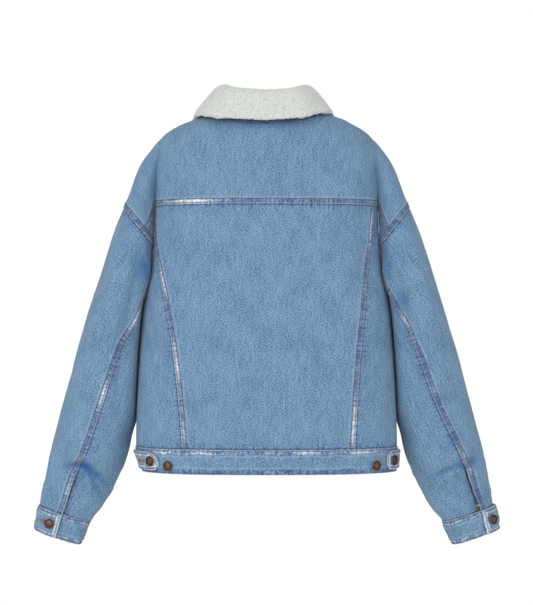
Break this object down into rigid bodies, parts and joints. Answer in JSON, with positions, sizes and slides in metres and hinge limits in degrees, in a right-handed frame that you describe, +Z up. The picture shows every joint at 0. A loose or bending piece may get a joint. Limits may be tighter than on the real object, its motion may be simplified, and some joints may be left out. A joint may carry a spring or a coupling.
{
  "type": "sherpa lined denim jacket",
  "caption": "Hollow trucker jacket with a fleece collar, back yoke, long back seams, dropped sleeves with slit cuffs, a waistband with side tabs and metal buttons.",
  "frame": {"origin": "middle of the neck opening, level with the tops of the shoulders", "axes": "+Z up from hem to collar, +Y towards the back, +X towards the wearer's left"},
  "size_m": [0.7806, 0.2501, 0.7639],
  "materials": {
    "denim": "light washed cotton denim twill",
    "pile": "off-white curly pile fleece",
    "copper": "antique copper plate"
  },
  "bodies": {
    "root": {"back_yoke": "denim", "back_panel": "denim", "side_back_left": "denim", "side_back_right": "denim", "front_left": "denim", "front_right": "denim", "front_placket": "denim", "sleeve_top_left": "denim", "sleeve_under_left": "denim", "sleeve_top_right": "denim", "sleeve_under_right": "denim", "cuff_left": "denim", "cuff_right": "denim", "waistband": "denim", "waist_tab_left": "denim", "waist_tab_right": "denim", "collar_top": "pile", "collar_under": "denim", "button_tab_left": "copper", "button_tab_right": "copper", "button_spare_left": "copper", "button_spare_right": "copper", "button_cuff_left": "copper", "button_cuff_right": "copper", "button_front_1": "copper", "button_front_2": "copper", "button_front_3": "copper", "button_front_4": "copper", "button_front_5": "copper", "button_waist": "copper"}
  },
  "joints": []
}
